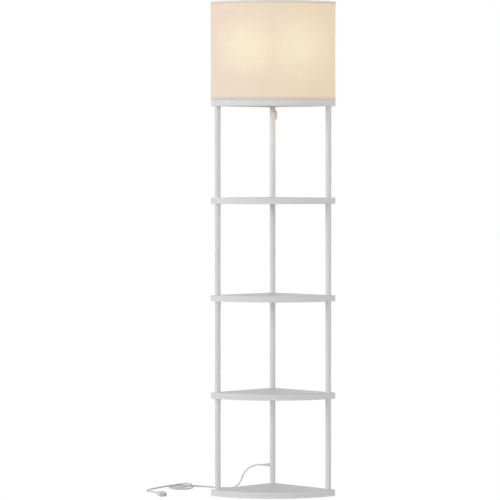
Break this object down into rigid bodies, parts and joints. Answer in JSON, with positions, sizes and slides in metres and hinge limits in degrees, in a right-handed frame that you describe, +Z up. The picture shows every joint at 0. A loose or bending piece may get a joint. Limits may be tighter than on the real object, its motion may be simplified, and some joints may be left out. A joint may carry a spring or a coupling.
{
  "type": "shelf floor lamp",
  "caption": "Quarter-round corner floor lamp: open shelves on tube posts, a linen shade of the same outline above, pull chain, and a loose cord with a plug.",
  "frame": {"origin": "on the floor, in the middle of the lamp's outline without its cord", "axes": "+Z up, -Y the rounded front, +X the lamp's right as seen from the front"},
  "size_m": [0.6159, 0.4007, 1.5941],
  "materials": {
    "white_board": "white laminated fibreboard, satin",
    "white_post": "white powder coat",
    "white_steel": "white powder coat",
    "zinc_steel": "zinc plated",
    "pad_rubber": "pale foam rubber",
    "white_plastic": "white moulded",
    "holder_brass": "plain",
    "bulb_cap_metal": "plain",
    "bulb_neck_plastic": "white gloss",
    "bulb_milk": "milky diffuser, warm light",
    "chain_metal": "nickel plated",
    "fob_plastic": "pale smooth",
    "linen": "pale linen weave, lined",
    "cord_vinyl": "white vinyl",
    "plug_vinyl": "white vinyl",
    "blade_metal": "nickel plated"
  },
  "bodies": {
    "stand": {"back_post_1": "white_post", "back_post_2": "white_post", "back_post_3": "white_post", "back_post_4": "white_post", "base_bolts": "zinc_steel", "base_shelf": "white_board", "bolt_inserts": "zinc_steel", "chain_grommet": "white_plastic", "clip_screws": "zinc_steel", "cluster_hub": "white_plastic", "cord_coil": "cord_vinyl", "cord_run_lamp": "cord_vinyl", "cord_run_plug": "cord_vinyl", "foot_pads": "pad_rubber", "hub_cover": "white_plastic", "inner_cord": "cord_vinyl", "joining_pipes": "zinc_steel", "joining_studs": "zinc_steel", "lamp_bar": "white_steel", "lamp_bar_screws": "zinc_steel", "lamp_stem": "white_steel", "left_holder": "white_plastic", "left_post_1": "white_post", "left_post_2": "white_post", "left_post_3": "white_post", "left_post_4": "white_post", "lower_shelf": "white_board", "middle_shelf": "white_board", "outlet_nut": "zinc_steel", "outlet_pipe": "zinc_steel", "pipe_inserts": "zinc_steel", "plug_blades": "blade_metal", "plug_body": "plug_vinyl", "pull_switch": "white_plastic", "right_holder": "white_plastic", "right_post_1": "white_post", "right_post_2": "white_post", "right_post_3": "white_post", "right_post_4": "white_post", "screw_shells": "holder_brass", "shade_bottom_ring": "white_steel", "shade_clips": "zinc_steel", "shade_fabric": "linen", "shade_top_ring": "white_steel", "shade_uprights": "white_steel", "socket_contacts": "holder_brass", "stem_nuts": "zinc_steel", "strain_relief": "cord_vinyl", "top_bolts": "zinc_steel", "top_frame": "white_board", "upper_shelf": "white_board"},
    "left_bulb": {"left_bulb_cap": "bulb_cap_metal", "left_bulb_neck": "bulb_neck_plastic", "left_bulb_dome": "bulb_milk"},
    "right_bulb": {"right_bulb_cap": "bulb_cap_metal", "right_bulb_neck": "bulb_neck_plastic", "right_bulb_dome": "bulb_milk"},
    "pull": {"pull_chain": "chain_metal", "pull_fob": "fob_plastic"}
  },
  "joints": [
    {"name": "left_bulb_turn", "type": "hinge", "parent": "stand", "child": "left_bulb", "pos_m": [0, -0.04, 1.363], "axis": [-0.7071, 0, 0.7071], "range_deg": [0, 360]},
    {"name": "right_bulb_turn", "type": "hinge", "parent": "stand", "child": "right_bulb", "pos_m": [0, -0.04, 1.363], "axis": [0.7071, 0, 0.7071], "range_deg": [0, 360]},
    {"name": "chain_pull", "type": "slide", "parent": "stand", "child": "pull", "axis": [0, 0, -1], "range_m": [0, 0.008], "stiffness_N_per_m": 300, "springref_m": -0.003}
  ]
}
